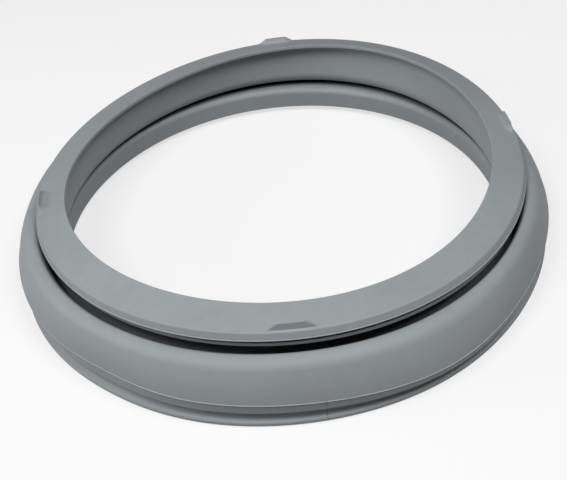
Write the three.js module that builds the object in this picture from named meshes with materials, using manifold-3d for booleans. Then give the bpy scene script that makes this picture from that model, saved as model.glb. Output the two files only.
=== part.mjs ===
// Door seal of a front-loading washing machine: one moulded rubber ring.
//
// The ring lies on its tub side, as it would be put down on a table, with the door side up.
// Its section is one closed outline, turned about Z. From the door side down it has
//   the flange, with a sloping lip, a slit for the clamp wire and a thin ridge,
//   the neck, which is the inner wall behind the lip,
//   the fold, a bellows that runs out from the neck, up over a crest and down the outside,
//   the foot, with the clamp groove, the bead and the slot for the tub's edge,
//   the web and the inner band, which closes the fold towards the drum and hangs down from the web.
// Four wedge tabs stand on the lip. Millimetres, +Z up, floor at z = 0.

import * as THREE from 'three';
import { ConvexGeometry } from 'three/addons/geometries/ConvexGeometry.js';
import { mergeVertices } from 'three/addons/utils/BufferGeometryUtils.js';
import Module from 'manifold-3d';

const wasm = await Module();
wasm.setup();

// Overall sizes
const openingRadius = 150; // inner edge of the lip, where the door glass passes
const sealHeight = 61;
const wall = 3; // rubber thickness of the neck and the fold

// Flange, from the lip's inner edge outwards and down
const lipWidth = 21.5;
const lipFall = 4.2; // the lip's outer edge lies this far under its inner edge
const lipEdgeThickness = 2.6;
const lipOverhang = 7.5; // reach of the lip into the opening, past the neck
const lipRootThickness = 5.5; // rubber above the lip's root, where the neck begins
const rimHeight = 4.8;
const rimFlare = 1.7; // the rim's lower edge stands out this far past its upper edge
const rimRound = 1.5; // from the lip down to the rim
const slitHeight = 2.1; // the clamp wire lies in this slit
const slitDepth = 3.0;
const ridgeHeight = 2.6;
const ridgeSetback = 1; // the ridge stands back this far from the rim

// Fold
const panelGap = 2.4; // the cabinet's sheet edge enters between the ridge and the crest
const valleyWidth = 9.9;
const valleyDepth = 18.9;
const valleyNeckRound = 7.2; // between the neck and the valley's floor
const valleyCrestRound = 2; // between the valley's floor and the wall up to the crest
const crestRound = 4; // on the side of the valley
const shoulderRound = 9; // on the outer side of the crest
const shoulderReach = 15; // from the crest out to the parting line
const shoulderFullness = 2.3; // how far the shoulder bellies out from a straight slope
const bellyShare = 0.9; // part of the length on either side of the belly that its arc takes up
const partingHeight = 20; // the mould's parting line above the floor

// Foot, on the tub side
const skirtHeight = 7.7; // upright band under the parting line
const skirtTaper = 0.4;
const grooveDepth = 4.6; // the tub's clamp sits in this groove
const grooveHeight = 1.4;
const coveReach = 1.8; // from the groove out to the corner of the hollow above the bead
const coveRise = 0.8; // that corner lies this far above the bead's top
const coveRound = 2.8;
const beadHeight = 3.8;
const beadSetback = 0.2; // the bead stands back this far from the parting line
const beadRound = 1.8;
const slotWallThickness = 7.6; // rubber between the slot and the outside of the bead
const slotWidth = 3.6; // the tub's edge enters here from below
const slotDepth = 8.5;
const slotInnerWall = 4.7;

// Web and inner band
const creaseGap = 2.4; // between the fold and the web, towards the drum
const webThickness = 3.5;
const bandSetback = 0.5; // the band stands back this far from the neck
const bandThickness = 3.5;
const bandRound = 4; // from the top of the web down to the band
const bandLift = 4.5; // lower edge of the band above the floor

// Small rounds
const edgeRound = 0.5;
const cornerRound = 2.4;

// Tabs on the lip, as degrees round from +X
const tabAngles = [4.3, 86.3, 184, 267.8];
const tabBaseLength = 29; // along the rim
const tabTopLength = 16;
const tabSetback = 1.6; // from the lip's outer edge to the tab's outer face
const tabDraft = 1.4; // the outer face leans in by this much over its height
const tabTopWidth = 0.8;
const tabRampWidth = 5; // from the flat top in to the ramp's foot
const tabTopDrop = 0.2; // the tab's top lies this far under the top of the seal
const tabSink = 1.2; // part of the tab buried in the lip

// Fineness of the faceted surface
const turnSegments = 60;
const arcTolerance = 0.22;
const tabArcSteps = 6;
const shortestSide = 0.01; // points of the section that lie closer than this become one

// Radii that follow from the sizes above
const rimTopRadius = openingRadius + lipWidth;
const rimRadius = rimTopRadius + rimFlare;
const ridgeRadius = rimRadius - ridgeSetback;
const neckRadius = openingRadius + lipOverhang;
const valleyInnerRadius = neckRadius + wall;
const valleyOuterRadius = valleyInnerRadius + valleyWidth;
const crestRadius = valleyOuterRadius + crestRound;
const partingRadius = crestRadius + shoulderReach;
const skirtRadius = partingRadius - skirtTaper;
const grooveRadius = skirtRadius - grooveDepth;
const beadRadius = partingRadius - beadSetback;
const slotOuterRadius = beadRadius - slotWallThickness;
const slotInnerRadius = slotOuterRadius - slotWidth;
const footInnerRadius = slotInnerRadius - slotInnerWall;
const bandRadius = neckRadius + bandSetback;
const bandOuterRadius = bandRadius + bandThickness;

// Heights that follow from the sizes above
const rimTopHeight = sealHeight - lipFall;
const slitTopHeight = rimTopHeight - rimHeight;
const ridgeTopHeight = slitTopHeight - slitHeight;
const flangeUnderHeight = ridgeTopHeight - ridgeHeight;
const crestHeight = flangeUnderHeight - panelGap;
const valleyFloorHeight = crestHeight - valleyDepth;
const skirtBottomHeight = partingHeight - skirtHeight;
const grooveBottomHeight = skirtBottomHeight - grooveHeight;
const webTopHeight = valleyFloorHeight - wall - creaseGap;
const webUnderHeight = webTopHeight - webThickness;

function corner(radius, height, round = 0) {
  return { at: new THREE.Vector2(radius, height), round };
}

// Height of the lip's sloping top at a given radius
function lipHeight(radius) {
  return sealHeight - lipFall * (radius - openingRadius) / lipWidth;
}

// Corners of the fold's outer skin, from the valley over the crest down to the parting line
function foldCorners() {
  const shoulderCentre = new THREE.Vector2(crestRadius, crestHeight - shoulderRound);
  const parting = new THREE.Vector2(partingRadius, partingHeight);
  const slope = parting.clone().sub(shoulderCentre);
  const outwards = new THREE.Vector2(-slope.y, slope.x).normalize();
  const belly = shoulderCentre.clone().add(parting).multiplyScalar(0.5);
  belly.addScaledVector(outwards, shoulderFullness + shoulderRound / 2);

  // The shoulder's round ends where a line from the belly's corner touches it.
  const toBelly = belly.clone().sub(shoulderCentre);
  const lineAngle = Math.atan2(toBelly.y, toBelly.x);
  const touchAngle = lineAngle + Math.acos(shoulderRound / toBelly.length());
  const shoulderTurn = Math.PI / 2 - touchAngle;
  const shoulderCornerRadius = crestRadius + shoulderRound * Math.tan(shoulderTurn / 2);

  // The belly is one wide arc between there and the parting line.
  const shoulderEnd = new THREE.Vector2(Math.cos(touchAngle), Math.sin(touchAngle));
  shoulderEnd.multiplyScalar(shoulderRound).add(shoulderCentre);
  const reach = bellyShare * Math.min(belly.distanceTo(shoulderEnd), belly.distanceTo(parting));
  const bellyTurn = Math.abs(turnAt(shoulderEnd, belly, parting).turn);
  return [
    corner(valleyInnerRadius, valleyFloorHeight, valleyNeckRound),
    corner(valleyOuterRadius, valleyFloorHeight, valleyCrestRound),
    corner(valleyOuterRadius, crestHeight, crestRound),
    corner(shoulderCornerRadius, crestHeight, shoulderRound),
    corner(belly.x, belly.y, reach / Math.tan(bellyTurn / 2)),
    corner(partingRadius, partingHeight),
  ];
}

function turnAt(before, at, after) {
  const incoming = at.clone().sub(before).normalize();
  const outgoing = after.clone().sub(at).normalize();
  const turn = Math.atan2(incoming.cross(outgoing), incoming.dot(outgoing));
  return { incoming, outgoing, turn };
}

// The same path, moved sideways to its right by the wall's thickness
function offsetCorners(path, thickness) {
  return path.slice(1, -1).map(({ at, round }, index) => {
    const { incoming, outgoing, turn } = turnAt(path[index].at, at, path[index + 2].at);
    const sideways = new THREE.Vector2(incoming.y + outgoing.y, -incoming.x - outgoing.x);
    sideways.multiplyScalar(thickness / (1 + incoming.dot(outgoing)));
    const movedRound = Math.max(0, round + Math.sign(turn) * thickness);
    return { at: at.clone().add(sideways), round: movedRound };
  });
}

// A closed outline with an arc at each corner that has a round
function roundedOutline(corners) {
  const points = [];
  corners.forEach(({ at, round }, index) => {
    const before = corners.at(index - 1).at;
    const after = corners[(index + 1) % corners.length].at;
    const { incoming, turn } = turnAt(before, at, after);
    if (round === 0) {
      points.push(at.clone());
      return;
    }
    const start = at.clone().addScaledVector(incoming, -round * Math.tan(Math.abs(turn) / 2));
    const towardsCentre = new THREE.Vector2(-incoming.y, incoming.x).multiplyScalar(Math.sign(turn));
    const centre = start.clone().addScaledVector(towardsCentre, round);
    const stepAngle = 2 * Math.acos(1 - Math.min(arcTolerance / round, 0.5));
    const steps = Math.ceil(Math.abs(turn) / stepAngle);
    for (let step = 0; step <= steps; step += 1) {
      points.push(start.clone().rotateAround(centre, turn * step / steps));
    }
  });
  return points.filter((point, index) => point.distanceTo(points.at(index - 1)) > shortestSide);
}

function sealSection() {
  const flange = [
    corner(openingRadius, sealHeight, edgeRound),
    corner(rimTopRadius, rimTopHeight, rimRound),
    corner(rimRadius, slitTopHeight, edgeRound),
    corner(rimRadius - slitDepth, slitTopHeight),
    corner(rimRadius - slitDepth, ridgeTopHeight),
    corner(ridgeRadius, ridgeTopHeight, edgeRound),
    corner(ridgeRadius, flangeUnderHeight, edgeRound),
    corner(valleyInnerRadius, flangeUnderHeight, cornerRound),
  ];
  const fold = foldCorners();
  const foot = [
    corner(skirtRadius, skirtBottomHeight, edgeRound),
    corner(grooveRadius, skirtBottomHeight),
    corner(grooveRadius, grooveBottomHeight),
    corner(grooveRadius + coveReach, beadHeight + coveRise, coveRound),
    corner(beadRadius, beadHeight, beadRound),
    corner(beadRadius, 0, beadRound),
    corner(slotOuterRadius, 0),
    corner(slotOuterRadius, slotDepth),
    corner(slotInnerRadius, slotDepth),
    corner(slotInnerRadius, 0),
    corner(footInnerRadius, 0),
    corner(footInnerRadius, webUnderHeight, cornerRound),
  ];
  const band = [
    corner(bandOuterRadius, webUnderHeight, Math.max(bandRound - bandThickness, 0)),
    corner(bandOuterRadius, bandLift, edgeRound),
    corner(bandRadius, bandLift, edgeRound),
    corner(bandRadius, webTopHeight, bandRound),
  ];

  // The inner skin of the fold, from the web back to the neck
  const skirtBottom = corner(skirtRadius, skirtBottomHeight);
  const neckTop = corner(valleyInnerRadius, flangeUnderHeight);
  const innerSkin = offsetCorners([neckTop, ...fold, skirtBottom], wall).reverse();
  const parting = innerSkin.shift().at;
  const belly = innerSkin[0].at;
  const webShare = (webTopHeight - parting.y) / (belly.y - parting.y);
  const webOuter = corner(THREE.MathUtils.lerp(parting.x, belly.x, webShare), webTopHeight, cornerRound);
  const neck = [
    corner(neckRadius, sealHeight - lipRootThickness, cornerRound),
    corner(openingRadius, sealHeight - lipEdgeThickness, edgeRound),
  ];
  return roundedOutline([...flange, ...fold, ...foot, ...band, webOuter, ...innerSkin, ...neck]);
}

function toManifold(geometry) {
  const bare = geometry.clone();
  bare.deleteAttribute('normal');
  bare.deleteAttribute('uv');
  const welded = mergeVertices(bare);
  return new wasm.Manifold(new wasm.Mesh({
    numProp: 3,
    vertProperties: new Float32Array(welded.attributes.position.array),
    triVerts: new Uint32Array(welded.index.array),
  }));
}

function toGeometry(solid) {
  const mesh = solid.getMesh();
  const geometry = new THREE.BufferGeometry();
  geometry.setAttribute('position', new THREE.BufferAttribute(mesh.vertProperties, 3));
  geometry.setIndex(new THREE.BufferAttribute(mesh.triVerts, 1));
  geometry.computeVertexNormals();
  return geometry;
}

function turnedRing(outline) {
  const closed = [...outline, outline[0]].reverse();
  const geometry = new THREE.LatheGeometry(closed, turnSegments);
  geometry.rotateX(Math.PI / 2);
  return geometry;
}

// One wedge tab: a steep outer face, a narrow flat top and a ramp that falls inwards
function wedgeTab(angle) {
  const outerRadius = rimTopRadius - tabSetback;
  const topOuterRadius = outerRadius - tabDraft;
  const topInnerRadius = topOuterRadius - tabTopWidth;
  const rampFootRadius = topInnerRadius - tabRampWidth;
  const topHeight = sealHeight - tabTopDrop;
  const points = [];
  function addArc(length, radius, height) {
    for (let step = 0; step <= tabArcSteps; step += 1) {
      const along = (step / tabArcSteps - 0.5) * length;
      const turn = along / rimTopRadius + THREE.MathUtils.degToRad(angle);
      points.push(new THREE.Vector3(radius * Math.cos(turn), radius * Math.sin(turn), height));
    }
  }
  addArc(tabBaseLength, outerRadius, lipHeight(outerRadius));
  addArc(tabBaseLength, outerRadius, lipHeight(outerRadius) - tabSink);
  addArc(tabTopLength, topOuterRadius, topHeight);
  addArc(tabTopLength, topInnerRadius, topHeight);
  addArc(tabBaseLength, rampFootRadius, lipHeight(rampFootRadius));
  addArc(tabBaseLength, rampFootRadius, lipHeight(rampFootRadius) - tabSink);
  return new ConvexGeometry(points);
}

let seal = toManifold(turnedRing(sealSection()));
for (const angle of tabAngles) {
  seal = seal.add(toManifold(wedgeTab(angle)));
}

const greyRubber = new THREE.MeshStandardMaterial({
  color: 0x9da2a6,
  roughness: 0.62,
  metalness: 0,
});

const doorSeal = new THREE.Mesh(toGeometry(seal), greyRubber);
doorSeal.name = 'door_seal';

const group = new THREE.Group();
group.add(doorSeal);

export default group;
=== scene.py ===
# Washing machine door seal, a moulded grey rubber ring lying on its tub side.
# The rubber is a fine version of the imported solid, bent a little as the soft ring lies at rest.

import math

import bmesh
import bpy
from mathutils import Matrix, Vector


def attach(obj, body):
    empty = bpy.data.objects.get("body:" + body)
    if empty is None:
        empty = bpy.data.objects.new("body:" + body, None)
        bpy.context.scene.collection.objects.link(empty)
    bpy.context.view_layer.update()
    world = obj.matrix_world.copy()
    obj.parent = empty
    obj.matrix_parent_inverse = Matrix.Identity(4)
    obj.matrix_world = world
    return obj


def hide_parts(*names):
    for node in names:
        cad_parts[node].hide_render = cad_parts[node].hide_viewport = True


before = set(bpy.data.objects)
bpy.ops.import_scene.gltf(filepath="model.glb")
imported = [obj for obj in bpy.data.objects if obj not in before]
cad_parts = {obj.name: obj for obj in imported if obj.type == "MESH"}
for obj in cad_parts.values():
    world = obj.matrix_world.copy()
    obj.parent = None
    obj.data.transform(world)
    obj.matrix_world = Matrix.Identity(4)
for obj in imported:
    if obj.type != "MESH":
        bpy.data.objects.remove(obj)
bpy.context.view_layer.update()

MM = 0.001

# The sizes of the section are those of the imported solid, but for the slit, the ridge, the panel gap
# and the tabs. Those were measured in the photograph once more, and differ by up to 2 mm.

# Flange and lip
OPENING_RADIUS = 150 * MM
SEAL_HEIGHT = 61 * MM
WALL = 3 * MM
LIP_WIDTH = 21.5 * MM
LIP_FALL = 4.2 * MM
LIP_EDGE_THICKNESS = 2.6 * MM
LIP_OVERHANG = 7.5 * MM
LIP_ROOT_THICKNESS = 5.5 * MM
RIM_HEIGHT = 4.8 * MM
RIM_FLARE = 1.7 * MM
RIM_ROUND = 1.5 * MM
SLIT_HEIGHT = 2.6 * MM
SLIT_DEPTH = 3.0 * MM
RIDGE_HEIGHT = 2.9 * MM
RIDGE_SETBACK = 1 * MM

# Fold
PANEL_GAP = 1.6 * MM
VALLEY_WIDTH = 9.9 * MM
VALLEY_DEPTH = 18.9 * MM
VALLEY_NECK_ROUND = 7.2 * MM
VALLEY_CREST_ROUND = 2 * MM
CREST_ROUND = 4 * MM
SHOULDER_ROUND = 9 * MM
SHOULDER_REACH = 15 * MM
SHOULDER_FULLNESS = 2.3 * MM
BELLY_SHARE = 0.9
PARTING_HEIGHT = 20 * MM

# Foot
SKIRT_HEIGHT = 7.7 * MM
SKIRT_TAPER = 0.4 * MM
GROOVE_DEPTH = 4.6 * MM
GROOVE_HEIGHT = 1.4 * MM
COVE_REACH = 1.8 * MM
COVE_RISE = 0.8 * MM
COVE_ROUND = 2.8 * MM
BEAD_HEIGHT = 3.8 * MM
BEAD_SETBACK = 0.2 * MM
BEAD_ROUND = 1.8 * MM
SLOT_WALL_THICKNESS = 7.6 * MM
SLOT_WIDTH = 3.6 * MM
SLOT_DEPTH = 8.5 * MM
SLOT_INNER_WALL = 4.7 * MM

# Web and inner band
CREASE_GAP = 2.4 * MM
WEB_THICKNESS = 3.5 * MM
BAND_SETBACK = 0.5 * MM
BAND_THICKNESS = 3.5 * MM
BAND_ROUND = 4 * MM
BAND_LIFT = 4.5 * MM

# Rounds of the moulded edges
EDGE_ROUND = 0.5 * MM
TIGHT_ROUND = 0.3 * MM
CORNER_ROUND = 2.4 * MM

# Flash left by the mould, a thin line that stands proud of the rubber
FLASH_PROUD = 0.6 * MM
FLASH_HEIGHT = 0.6 * MM
FLASH_TIP_SHARE = 0.6  # the flash's edge is this much of its foot's height

# Tabs on the lip
TAB_ANGLES = [4.3, 86.3, 184, 267.8]  # in degrees round from +X
TAB_BASE_LENGTH = 29 * MM
TAB_TOP_LENGTH = 16 * MM
TAB_SETBACK = 1.6 * MM
TAB_DRAFT = 0.7 * MM
TAB_TOP_WIDTH = 0.8 * MM
TAB_RAMP_WIDTH = 5 * MM
TAB_RAMP_HOLLOW = 3.5  # power by which the ramp falls, where 1 is a flat ramp
TAB_TOP_RISE = 0.5 * MM  # above the lip's inner edge
TAB_SINK = 1.2 * MM
TAB_SEAM = 0.04 * MM  # the tab's foot lies this far under the lip's surface
TAB_STEPS = 58
TAB_RAMP_STEPS = 7

# How the soft ring lies in the photograph, against its moulded form.
# The loose flange has slid on the foot, and it rises, twists and goes out of round.
# The fold's crest goes out of round too, and the foot bulges at one place and is tucked in at another.
# A wave is its amount, the direction in degrees from +X in which it is greatest, and
# the number of times that it comes round. A bump is its amount, direction and width in degrees.
FLANGE_SLIDE = Vector((4.1 * MM, 4.2 * MM, 0))
FLANGE_OVAL = (2.2 * MM, 60, 2)
FLANGE_LOBES = (1.9 * MM, 307, 3)
FLANGE_LEAN = (0.6 * MM, 162, 1)
FLANGE_SADDLE = (1.1 * MM, 58, 2)
FLANGE_DROP = 0.4 * MM
FLANGE_TWIST = math.radians(3.7)
TWIST_LEAN = (math.radians(1.7), 51, 1)
TWIST_SADDLE = (math.radians(5), 26, 2)
TWIST_RADIUS = 163 * MM  # of the point that the flange's section turns about, at the next height
TWIST_HEIGHT = 57 * MM
CREST_SLIDE = (1.2 * MM, 1, 1)
CREST_OVAL = (2.0 * MM, 280, 2)
CREST_LOBES = (2.3 * MM, 321, 3)
FOOT_BULGE = (5 * MM, 298, 15)
FOOT_TUCK = (-2.2 * MM, 229, 9)
SAG_HEIGHT = 33 * MM  # a bulge sinks by its own amount at this height

# Fineness of the mesh
TURN_SEGMENTS = 320
LIP_STEPS = 12
SMALL_ROUND = 1 * MM
SMALL_ROUND_STEP = math.radians(18)
ROUND_STEP = math.radians(9)
SHORTEST_SIDE = 0.01 * MM  # points of the section that lie closer than this become one
SHARP_EDGE = math.radians(20)

rim_top_radius = OPENING_RADIUS + LIP_WIDTH
rim_radius = rim_top_radius + RIM_FLARE
ridge_radius = rim_radius - RIDGE_SETBACK
neck_radius = OPENING_RADIUS + LIP_OVERHANG
valley_inner_radius = neck_radius + WALL
valley_outer_radius = valley_inner_radius + VALLEY_WIDTH
crest_radius = valley_outer_radius + CREST_ROUND
parting_radius = crest_radius + SHOULDER_REACH
skirt_radius = parting_radius - SKIRT_TAPER
groove_radius = skirt_radius - GROOVE_DEPTH
bead_radius = parting_radius - BEAD_SETBACK
slot_outer_radius = bead_radius - SLOT_WALL_THICKNESS
slot_inner_radius = slot_outer_radius - SLOT_WIDTH
foot_inner_radius = slot_inner_radius - SLOT_INNER_WALL
band_radius = neck_radius + BAND_SETBACK
band_outer_radius = band_radius + BAND_THICKNESS

rim_top_height = SEAL_HEIGHT - LIP_FALL
slit_top_height = rim_top_height - RIM_HEIGHT
ridge_top_height = slit_top_height - SLIT_HEIGHT
flange_under_height = ridge_top_height - RIDGE_HEIGHT
crest_height = flange_under_height - PANEL_GAP
valley_floor_height = crest_height - VALLEY_DEPTH
skirt_bottom_height = PARTING_HEIGHT - SKIRT_HEIGHT
groove_bottom_height = skirt_bottom_height - GROOVE_HEIGHT
web_top_height = valley_floor_height - WALL - CREASE_GAP
web_under_height = web_top_height - WEB_THICKNESS


# How far each part of the section goes with the flange, the crest of the fold, and the foot's bumps
BAND = Vector((0, 0, 0))  # the web and the band stay as they were moulded
FLANGE = Vector((1, 0, 0))
VALLEY = Vector((0.5, 0.5, 0))
CREST = Vector((0, 1, 0.1))
SHOULDER = Vector((0, 0.75, 0.3))
BELLY = Vector((0, 0.35, 0.7))
PARTING = Vector((0, 0, 1))
GROOVE = Vector((0, 0, 0.85))
BEAD = Vector((0, 0, 0.4))


class Corner:
    """One corner of the section, with its round, and with how far it goes along with each bend."""

    def __init__(self, radius, height, round_by=0.0, ease=BAND):
        self.at = Vector((radius, height))
        self.round_by = round_by
        self.ease = ease


def lip_height(radius):
    """Height of the lip's sloping top at a radius."""
    return SEAL_HEIGHT - LIP_FALL * (radius - OPENING_RADIUS) / LIP_WIDTH


def turn_at(before, at, after):
    """The directions into and out of a corner, and the angle between them, positive to the left."""
    incoming = (at - before).normalized()
    outgoing = (after - at).normalized()
    cross = incoming.x * outgoing.y - incoming.y * outgoing.x
    return incoming, outgoing, math.atan2(cross, incoming.dot(outgoing))


def fold_corners():
    """The fold's outer skin, from the valley over the crest and shoulder to the parting line."""
    shoulder_centre = Vector((crest_radius, crest_height - SHOULDER_ROUND))
    parting = Vector((parting_radius, PARTING_HEIGHT))
    slope = parting - shoulder_centre
    outwards = Vector((-slope.y, slope.x)).normalized()
    belly = (shoulder_centre + parting) / 2
    belly += outwards * (SHOULDER_FULLNESS + SHOULDER_ROUND / 2)

    to_belly = belly - shoulder_centre
    line_angle = math.atan2(to_belly.y, to_belly.x)
    touch_angle = line_angle + math.acos(SHOULDER_ROUND / to_belly.length)
    shoulder_turn = math.pi / 2 - touch_angle
    shoulder_corner_radius = crest_radius + SHOULDER_ROUND * math.tan(shoulder_turn / 2)

    touch = Vector((math.cos(touch_angle), math.sin(touch_angle)))
    shoulder_end = shoulder_centre + touch * SHOULDER_ROUND
    reach = BELLY_SHARE * min((belly - shoulder_end).length, (belly - parting).length)
    belly_turn = abs(turn_at(shoulder_end, belly, parting)[2])
    return [
        Corner(valley_inner_radius, valley_floor_height, VALLEY_NECK_ROUND, VALLEY),
        Corner(valley_outer_radius, valley_floor_height, VALLEY_CREST_ROUND, VALLEY),
        Corner(valley_outer_radius, crest_height, CREST_ROUND, CREST),
        Corner(shoulder_corner_radius, crest_height, SHOULDER_ROUND, SHOULDER),
        Corner(belly.x, belly.y, reach / math.tan(belly_turn / 2), BELLY),
        Corner(parting_radius, PARTING_HEIGHT, 0, PARTING),
    ]


def offset_corners(path, thickness):
    """The same path, moved sideways to its right by the wall's thickness."""
    moved = []
    for before, corner, after in zip(path, path[1:], path[2:]):
        incoming, outgoing, turn = turn_at(before.at, corner.at, after.at)
        sideways = Vector((incoming.y + outgoing.y, -incoming.x - outgoing.x))
        place = corner.at + sideways * thickness / (1 + incoming.dot(outgoing))
        round_by = max(0.0, corner.round_by + math.copysign(thickness, turn))
        moved.append(Corner(place.x, place.y, round_by, corner.ease))
    return moved


def rounded_outline(corners):
    """Points of the closed outline as (radius, height, ease).

    Along a round, the ease goes over from the corner's to its neighbours'.
    """
    points = []
    for index, corner in enumerate(corners):
        before = corners[index - 1]
        after = corners[(index + 1) % len(corners)]
        incoming, _, turn = turn_at(before.at, corner.at, after.at)
        if corner.round_by == 0:
            points.append((corner.at.x, corner.at.y, corner.ease))
            continue
        reach = corner.round_by * math.tan(abs(turn) / 2)
        start = corner.at - incoming * reach
        side = math.copysign(1, turn)
        centre = start + Vector((-incoming.y, incoming.x)) * side * corner.round_by
        step_angle = SMALL_ROUND_STEP if corner.round_by < SMALL_ROUND else ROUND_STEP
        steps = max(2, math.ceil(abs(turn) / step_angle))
        for step in range(steps + 1):
            spun = Matrix.Rotation(turn * step / steps, 2) @ (start - centre)
            place = centre + spun
            along = reach * (2 * step / steps - 1)
            neighbour = before if along < 0 else after
            share = abs(along) / (neighbour.at - corner.at).length
            ease = corner.ease.lerp(neighbour.ease, share)
            points.append((place.x, place.y, ease))
    kept = []
    for index, point in enumerate(points):
        gap = math.dist(point[:2], points[index - 1][:2])
        if gap > SHORTEST_SIDE:
            kept.append(point)
    return kept


def flash_corners(radius, height, ease):
    """A thin mould line that stands proud of the rubber, from its top down."""
    proud = radius + FLASH_PROUD
    half = FLASH_HEIGHT / 2
    tip = half * FLASH_TIP_SHARE
    return [
        Corner(radius, height + half, 0, ease),
        Corner(proud, height + tip, 0, ease),
        Corner(proud, height - tip, 0, ease),
        Corner(radius, height - half, 0, ease),
    ]


def lip_corners():
    """Points in between on the lip, so that its shading stays local beside the tabs."""
    places = []
    for step in range(1, LIP_STEPS):
        radius = OPENING_RADIUS + LIP_WIDTH * step / LIP_STEPS
        places.append(Corner(radius, lip_height(radius), 0, FLANGE))
    return places


def seal_section():
    """The whole outline, from the lip's inner edge out and down, under the foot and up inside."""
    flange = [
        Corner(OPENING_RADIUS, SEAL_HEIGHT, EDGE_ROUND, FLANGE),
        *lip_corners(),
        Corner(rim_top_radius, rim_top_height, RIM_ROUND, FLANGE),
        *flash_corners(rim_radius, slit_top_height + FLASH_HEIGHT / 2, FLANGE),
        Corner(rim_radius - SLIT_DEPTH, slit_top_height, TIGHT_ROUND, FLANGE),
        Corner(rim_radius - SLIT_DEPTH, ridge_top_height, TIGHT_ROUND, FLANGE),
        Corner(ridge_radius, ridge_top_height, EDGE_ROUND, FLANGE),
        Corner(ridge_radius, flange_under_height, EDGE_ROUND, FLANGE),
        Corner(valley_inner_radius, flange_under_height, CORNER_ROUND, FLANGE),
    ]
    fold = fold_corners()
    flash = flash_corners(parting_radius, PARTING_HEIGHT, PARTING)
    foot = [
        Corner(skirt_radius, skirt_bottom_height, EDGE_ROUND, GROOVE),
        Corner(groove_radius, skirt_bottom_height, TIGHT_ROUND, GROOVE),
        Corner(groove_radius, groove_bottom_height, TIGHT_ROUND, GROOVE),
        Corner(groove_radius + COVE_REACH, BEAD_HEIGHT + COVE_RISE, COVE_ROUND, BEAD),
        Corner(bead_radius, BEAD_HEIGHT, BEAD_ROUND, BEAD),
        Corner(bead_radius, 0, BEAD_ROUND, BEAD),
        Corner(slot_outer_radius, 0, TIGHT_ROUND, BEAD),
        Corner(slot_outer_radius, SLOT_DEPTH, TIGHT_ROUND, BEAD),
        Corner(slot_inner_radius, SLOT_DEPTH, TIGHT_ROUND, BEAD),
        Corner(slot_inner_radius, 0, TIGHT_ROUND, BEAD),
        Corner(foot_inner_radius, 0, EDGE_ROUND, BEAD),
        Corner(foot_inner_radius, web_under_height, CORNER_ROUND, BEAD),
    ]
    band = [
        Corner(band_outer_radius, web_under_height, max(BAND_ROUND - BAND_THICKNESS, 0)),
        Corner(band_outer_radius, BAND_LIFT, EDGE_ROUND),
        Corner(band_radius, BAND_LIFT, EDGE_ROUND),
        Corner(band_radius, web_top_height, BAND_ROUND),
    ]
    # The skin's inner side follows its outer side, one wall further in, and ends on the web's top.
    neck_top = Corner(valley_inner_radius, flange_under_height, 0, FLANGE)
    skirt_bottom = Corner(skirt_radius, skirt_bottom_height, 0, GROOVE)
    inner_skin = offset_corners([neck_top, *fold, skirt_bottom], WALL)
    inner_skin.reverse()
    parting = inner_skin.pop(0).at
    belly = inner_skin[0].at
    web_share = (web_top_height - parting.y) / (belly.y - parting.y)
    web_outer_radius = parting.x + (belly.x - parting.x) * web_share
    web_outer = Corner(web_outer_radius, web_top_height, CORNER_ROUND, PARTING)
    neck = [
        Corner(neck_radius, SEAL_HEIGHT - LIP_ROOT_THICKNESS, CORNER_ROUND, FLANGE),
        Corner(OPENING_RADIUS, SEAL_HEIGHT - LIP_EDGE_THICKNESS, EDGE_ROUND, FLANGE),
    ]
    corners = flange + fold[:-1] + flash + foot + band + [web_outer] + inner_skin + neck
    return rounded_outline(corners)


def wave(terms, angle):
    """How much a wave adds in one direction round the ring."""
    amount, direction, times = terms
    return amount * math.cos(times * (angle - math.radians(direction)))


def bump(terms, angle):
    """How much a bump adds in one direction round the ring."""
    amount, direction, width = terms
    away = (math.degrees(angle) - direction + 180) % 360 - 180
    return amount * math.exp(-(away / width) ** 2 / 2)


def relaxed(radius, angle, height, ease):
    """Where a point of the ring lies once the soft rubber has settled."""
    give, sway, sag = ease
    bent = wave(FLANGE_OVAL, angle) + wave(FLANGE_LOBES, angle)
    swayed = wave(CREST_SLIDE, angle) + wave(CREST_OVAL, angle) + wave(CREST_LOBES, angle)
    twist = give * (FLANGE_TWIST + wave(TWIST_LEAN, angle) + wave(TWIST_SADDLE, angle))
    rise = give * (wave(FLANGE_LEAN, angle) + wave(FLANGE_SADDLE, angle) - FLANGE_DROP)
    bulged = sag * (bump(FOOT_BULGE, angle) + bump(FOOT_TUCK, angle))
    out = radius + give * bent + sway * swayed + bulged + twist * (height - TWIST_HEIGHT)
    up = height + rise - bulged * height / SAG_HEIGHT - twist * (radius - TWIST_RADIUS)
    return Vector((out * math.cos(angle), out * math.sin(angle), up)) + FLANGE_SLIDE * give


def build_ring():
    section = seal_section()
    count = len(section)
    vertices = []
    faces = []
    for segment in range(TURN_SEGMENTS):
        angle = math.tau * segment / TURN_SEGMENTS
        for radius, height, ease in section:
            vertices.append(relaxed(radius, angle, height, ease))
        here = segment * count
        after = (segment + 1) % TURN_SEGMENTS * count
        for point in range(count):
            following = (point + 1) % count
            faces.append((here + point, here + following, after + following, after + point))
    mesh = bpy.data.meshes.new("seal_ring")
    mesh.from_pydata(vertices, [], faces)
    mesh.update()
    return mesh


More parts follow.
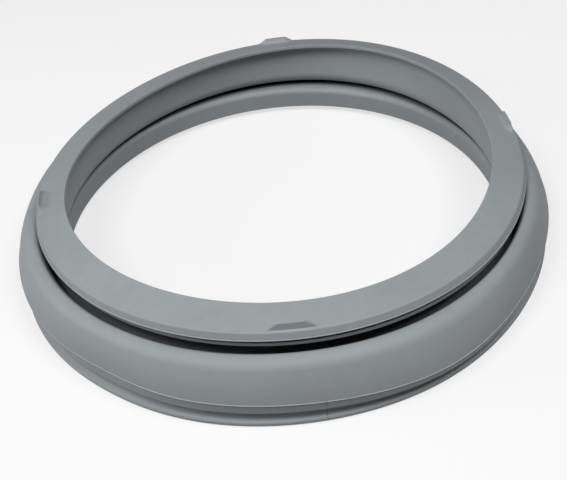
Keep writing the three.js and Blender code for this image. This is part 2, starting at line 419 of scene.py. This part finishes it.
def tab_section(along):
    """The tab's outline at one place along it, a steep outer face and a hollow inner ramp."""
    end_run = (TAB_BASE_LENGTH - TAB_TOP_LENGTH) / 2
    share = min(1.0, (TAB_BASE_LENGTH / 2 - abs(along)) / end_run)
    outer_radius = rim_top_radius - TAB_SETBACK
    ridge = outer_radius - TAB_DRAFT * share
    inner_radius = outer_radius - TAB_DRAFT - TAB_TOP_WIDTH - TAB_RAMP_WIDTH
    crown = ridge - TAB_TOP_WIDTH * share
    top = SEAL_HEIGHT + TAB_TOP_RISE - lip_height(outer_radius - TAB_DRAFT)
    points = [
        (outer_radius, lip_height(outer_radius) - TAB_SINK),
        (outer_radius, lip_height(outer_radius) - TAB_SEAM),
        (ridge, lip_height(ridge) + top * share - TAB_SEAM),
    ]
    for step in range(TAB_RAMP_STEPS + 1):
        inwards = step / TAB_RAMP_STEPS
        radius = crown + (inner_radius - crown) * inwards
        rise = top * share * (1 - inwards) ** TAB_RAMP_HOLLOW
        points.append((radius, lip_height(radius) + rise - TAB_SEAM))
    points.append((radius, lip_height(radius) - TAB_SINK))
    return points


def build_tab(angle):
    """One tab, closed at both ends, its foot sunk into the lip."""
    vertices = []
    faces = []
    for step in range(TAB_STEPS + 1):
        along = (step / TAB_STEPS - 0.5) * TAB_BASE_LENGTH
        turn = math.radians(angle) + along / rim_top_radius
        section = tab_section(along)
        vertices += [relaxed(radius, turn, height, FLANGE) for radius, height in section]
    count = len(section)
    for step in range(TAB_STEPS):
        here = step * count
        for point in range(count):
            following = (point + 1) % count
            near = (here + point, here + following)
            faces.append((*near, here + count + following, here + count + point))
    faces.append(tuple(reversed(range(count))))
    faces.append(tuple(range(TAB_STEPS * count, (TAB_STEPS + 1) * count)))
    mesh = bpy.data.meshes.new("seal_tab")
    mesh.from_pydata(vertices, [], faces)
    form = bmesh.new()
    form.from_mesh(mesh)
    bmesh.ops.recalc_face_normals(form, faces=form.faces)
    form.to_mesh(mesh)
    form.free()
    return mesh


def new_object(name, mesh):
    thing = bpy.data.objects.new(name, mesh)
    bpy.context.scene.collection.objects.link(thing)
    return thing


def join_tab(ring, angle):
    tab = new_object("tab", build_tab(angle))
    union = ring.modifiers.new("tab", "BOOLEAN")
    union.operation = "UNION"
    union.solver = "EXACT"
    union.object = tab
    depsgraph = bpy.context.evaluated_depsgraph_get()
    joined = bpy.data.meshes.new_from_object(ring.evaluated_get(depsgraph))
    ring.modifiers.clear()
    ring.data = joined
    bpy.data.objects.remove(tab)


def build_seal():
    ring = new_object("seal_rubber", build_ring())
    for angle in TAB_ANGLES:
        join_tab(ring, angle)
    for polygon in ring.data.polygons:
        polygon.use_smooth = True
    ring.data.set_sharp_from_angle(angle=SHARP_EDGE)
    ring.modifiers.new("normals", "WEIGHTED_NORMAL").keep_sharp = True
    return ring


class Nodes:
    """A material, with a short way to add and wire its shader nodes."""

    def __init__(self, name):
        self.material = bpy.data.materials.new(name)
        self.material.use_nodes = True
        self.tree = self.material.node_tree
        self.shader = self.tree.nodes["Principled BSDF"]

    def fill(self, socket, source):
        """Fill an input from another node's output, or with a plain value."""
        if isinstance(source, bpy.types.NodeSocket):
            self.tree.links.new(source, socket)
        else:
            socket.default_value = source

    def add(self, kind, inputs=None, **settings):
        """A new node with its settings, and with its inputs filled, each by its name or number."""
        node = self.tree.nodes.new(kind)
        for key, value in settings.items():
            setattr(node, key, value)
        for key, source in (inputs or {}).items():
            self.fill(node.inputs[key], source)
        return node

    def noise(self, place, terms):
        scale, detail, roughness = terms
        inputs = {"Vector": place, "Scale": scale, "Detail": detail, "Roughness": roughness}
        return self.add("ShaderNodeTexNoise", inputs).outputs["Fac"]

    def remap(self, value, low, high, to_low, to_high):
        inputs = {"Value": value, "From Min": low, "From Max": high, "To Min": to_low, "To Max": to_high}
        return self.add("ShaderNodeMapRange", inputs).outputs["Result"]

    def calculated(self, operation, *values):
        inputs = dict(enumerate(values))
        return self.add("ShaderNodeMath", inputs, operation=operation).outputs[0]

    def mixed_colour(self, amount, first, second):
        """A colour that goes from the first to the second as the amount rises from 0 to 1."""
        inputs = {"Factor": amount, "A": first, "B": second}
        return self.add("ShaderNodeMix", inputs, data_type="RGBA").outputs["Result"]

    def mixed_shader(self, amount, first, second):
        inputs = {"Fac": amount, 1: first, 2: second}
        return self.add("ShaderNodeMixShader", inputs).outputs["Shader"]


# Tones of the rubber
# A noise is its scale in times per metre, its detail and its roughness. A range is the value at
# which a mark starts and the value at which it is full.
CLOUD_NOISE = (22, 4, 0.55)
CLOUD_SHARE = 0.55
BLOTCH_NOISE = (160, 5, 0.6)
BLOTCH_SHARE = 0.45
RUBBER_DARK = (0.324, 0.347, 0.363, 1)
RUBBER_DARK_AT = 0.35
RUBBER_GREY = (0.338, 0.363, 0.379, 1)
RUBBER_GREY_AT = 0.5
RUBBER_PALE = (0.356, 0.381, 0.395, 1)
RUBBER_PALE_AT = 0.68

# Scuffs
SCUFF_PALE = (0.56, 0.58, 0.58, 1)
SCUFF_AMOUNT = 0.5
SCUFF_PATCH_NOISE = (9, 1, 0.5)
SCUFF_PATCH_RANGE = (0.55, 0.65)
SCUFF_SPECK_NOISE = (420, 4, 0.7)
SCUFF_SPECK_RANGE = (0.62, 0.74)

# Painted shade in the grooves, folds and slit, by their openness, which is 1 where all is open round
# about. Its dark colour also marks the mould's joint line.
PAINTED_SHADE_AND_JOINT_DARK = (0.02, 0.022, 0.024, 1)
SHADE_REACH = 22 * MM
SHADE_FULL_BELOW = 0.18
SHADE_NONE_ABOVE = 0.44
SHADE_AMOUNT = 0.92
SHADE_SAMPLES = 8

# Joint line of the mould
JOINT_ANGLE = math.radians(273.6)
JOINT_WIDTH = 0.4 * MM
JOINT_AMOUNT = 0.6
JOINT_INNER_RADIUS = groove_radius * 0.98  # just inside the groove's floor

# Satin surface
SURFACE_RANGE = (0.3, 0.7)
ROUGHNESS_LOW = 0.52
ROUGHNESS_HIGH = 0.66
GRAIN_NOISE = (1400, 3, 0.6)
GRAIN_STRENGTH = 0.25
GRAIN_DEPTH = 0.08 * MM


def mould_joint(nodes, place):
    """1 on the thin upright line where two parts of the mould met, from the parting line down."""
    sideways = (-math.sin(JOINT_ANGLE), math.cos(JOINT_ANGLE), 0)
    across = nodes.add("ShaderNodeVectorMath", {0: place, 1: sideways}, operation="DOT_PRODUCT")
    axes = nodes.add("ShaderNodeSeparateXYZ", {0: place})
    off_line = nodes.calculated("ABSOLUTE", across.outputs["Value"])
    on_line = nodes.calculated("LESS_THAN", off_line, JOINT_WIDTH / 2)
    in_front = nodes.calculated("LESS_THAN", axes.outputs["Y"], -JOINT_INNER_RADIUS)
    low = nodes.calculated("LESS_THAN", axes.outputs["Z"], PARTING_HEIGHT)
    return nodes.calculated("MULTIPLY", nodes.calculated("MULTIPLY", on_line, in_front), low)


def rubber_material():
    nodes = Nodes("grey_rubber")
    place = nodes.add("ShaderNodeTexCoord").outputs["Object"]

    cloudy = nodes.remap(nodes.noise(place, CLOUD_NOISE), 0, 1, 0, CLOUD_SHARE)
    blotchy = nodes.noise(place, BLOTCH_NOISE)
    tone = nodes.calculated("MULTIPLY_ADD", blotchy, BLOTCH_SHARE, cloudy)
    clean = nodes.add("ShaderNodeValToRGB", {"Fac": tone})
    stops = clean.color_ramp.elements
    stops[0].position = RUBBER_DARK_AT
    stops[0].color = RUBBER_DARK
    stops[1].position = RUBBER_PALE_AT
    stops[1].color = RUBBER_PALE
    stops.new(RUBBER_GREY_AT).color = RUBBER_GREY

    patches = nodes.remap(nodes.noise(place, SCUFF_PATCH_NOISE), *SCUFF_PATCH_RANGE, 0, SCUFF_AMOUNT)
    specks = nodes.remap(nodes.noise(place, SCUFF_SPECK_NOISE), *SCUFF_SPECK_RANGE, 0, 1)
    scuffs = nodes.calculated("MULTIPLY", patches, specks)
    scuffed = nodes.mixed_colour(scuffs, clean.outputs["Color"], SCUFF_PALE)

    # Painted shade: the rubber's colour goes nearly black where it is closed in round about, in the
    # folds, the slit and the grooves.
    shelter = nodes.add(
        "ShaderNodeAmbientOcclusion", {"Distance": SHADE_REACH}, samples=SHADE_SAMPLES, only_local=True
    )
    painted_shade = nodes.remap(shelter.outputs["AO"], SHADE_FULL_BELOW, SHADE_NONE_ABOVE, SHADE_AMOUNT, 0)
    painted_shade_colour = nodes.mixed_colour(painted_shade, scuffed, PAINTED_SHADE_AND_JOINT_DARK)
    joint = nodes.remap(mould_joint(nodes, place), 0, 1, 0, JOINT_AMOUNT)
    # The mould's joint line takes the same dark colour as the painted shade.
    nodes.fill(nodes.shader.inputs["Base Color"], nodes.mixed_colour(joint, painted_shade_colour, PAINTED_SHADE_AND_JOINT_DARK))

    roughness = nodes.remap(blotchy, *SURFACE_RANGE, ROUGHNESS_LOW, ROUGHNESS_HIGH)
    nodes.fill(nodes.shader.inputs["Roughness"], roughness)
    grain = nodes.add(
        "ShaderNodeBump",
        {"Strength": GRAIN_STRENGTH, "Distance": GRAIN_DEPTH, "Height": nodes.noise(place, GRAIN_NOISE)},
    )
    nodes.fill(nodes.shader.inputs["Normal"], grain.outputs["Normal"])
    return nodes.material


# The floor as it is seen, and the darker floor whose bounced light reaches the rubber
FLOOR_SEEN = (0.95, 0.95, 0.95, 1)
FLOOR_GLOW = 0.68
FLOOR_ROUGHNESS = 0.9
FLOOR_BOUNCE = (0.27, 0.27, 0.27, 1)
FLOOR_HALF_SIZE = 6
FLOOR_DEPTH = 0.1 * MM  # just clear of the foot's flat underside


def floor_material():
    nodes = Nodes("pale_floor")
    nodes.fill(nodes.shader.inputs["Base Color"], FLOOR_SEEN)
    nodes.fill(nodes.shader.inputs["Roughness"], FLOOR_ROUGHNESS)
    white = nodes.add("ShaderNodeEmission")
    seen = nodes.mixed_shader(FLOOR_GLOW, nodes.shader.outputs["BSDF"], white.outputs["Emission"])

    light_path = nodes.add("ShaderNodeLightPath")
    direct = light_path.outputs["Is Camera Ray"]
    for ray in ("Is Glossy Ray", "Is Transmission Ray"):
        direct = nodes.calculated("MAXIMUM", direct, light_path.outputs[ray])
    bounce = nodes.add("ShaderNodeBsdfDiffuse", {"Color": FLOOR_BOUNCE})
    surface = nodes.mixed_shader(direct, bounce.outputs["BSDF"], seen)
    nodes.fill(nodes.tree.nodes["Material Output"].inputs["Surface"], surface)
    return nodes.material


def build_floor():
    size = FLOOR_HALF_SIZE
    mesh = bpy.data.meshes.new("floor")
    corners = [(-size, -size), (size, -size), (size, size), (-size, size)]
    mesh.from_pydata([(x, y, -FLOOR_DEPTH) for x, y in corners], [], [(0, 1, 2, 3)])
    floor = new_object("floor", mesh)
    floor.data.materials.append(floor_material())


SOFTBOX_SIZE = 0.7
SOFTBOX_TARGET = Vector((0, 0, 0.04))


def add_softbox(name, place, watts):
    """A square lamp at a place in metres, turned to the seal."""
    light = bpy.data.lights.new(name, "AREA")
    light.shape = "SQUARE"
    light.size = SOFTBOX_SIZE
    light.energy = watts
    lamp = new_object(name, light)
    lamp.location = place
    lamp.rotation_euler = (SOFTBOX_TARGET - Vector(place)).to_track_quat("-Z", "Y").to_euler()


def add_room():
    """A room that looks pale past the floor, and lights nothing."""
    world = bpy.data.worlds.new("room")
    world.use_nodes = True
    tree = world.node_tree
    background = tree.nodes["Background"]
    background.inputs["Color"].default_value = FLOOR_SEEN
    light_path = tree.nodes.new("ShaderNodeLightPath")
    tree.links.new(light_path.outputs["Is Camera Ray"], background.inputs["Strength"])
    bpy.context.scene.world = world


# The camera was worked out from the photograph by fitting circles to the ring's edges.
FOCAL_PIXELS = 1000
PHOTO_WIDTH = 567
SENSOR_WIDTH = 36
CLIP_START = 10 * MM
CAMERA_PLACE = Vector((-0.4 * MM, -578.3 * MM, 464.0 * MM))
CAMERA_RIGHT = Vector((0.99121, -0.08413, -0.10207))
CAMERA_FORWARD = Vector((0, 0.77166, -0.63603))


def add_camera():
    data = bpy.data.cameras.new("camera")
    data.sensor_fit = "HORIZONTAL"
    data.sensor_width = SENSOR_WIDTH
    data.lens = FOCAL_PIXELS / PHOTO_WIDTH * SENSOR_WIDTH
    data.clip_start = CLIP_START
    camera = new_object("camera", data)
    forward = CAMERA_FORWARD.normalized()
    right = CAMERA_RIGHT.normalized()
    up = right.cross(forward)
    turn = Matrix((right, up, -forward)).transposed()
    camera.matrix_world = Matrix.Translation(CAMERA_PLACE) @ turn.to_4x4()
    bpy.context.scene.camera = camera


bpy.context.scene.view_settings.view_transform = "Standard"

seal = build_seal()
seal.data.materials.clear()
seal.data.materials.append(rubber_material())
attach(seal, "root")
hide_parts("door_seal")

build_floor()
add_softbox("front_right", (0.56, -0.56, 1.4), 12)
add_softbox("front_left", (-0.56, -0.56, 1.4), 11)
add_softbox("left", (-1.5, 0, 0.5), 6.8)
add_room()
add_camera()
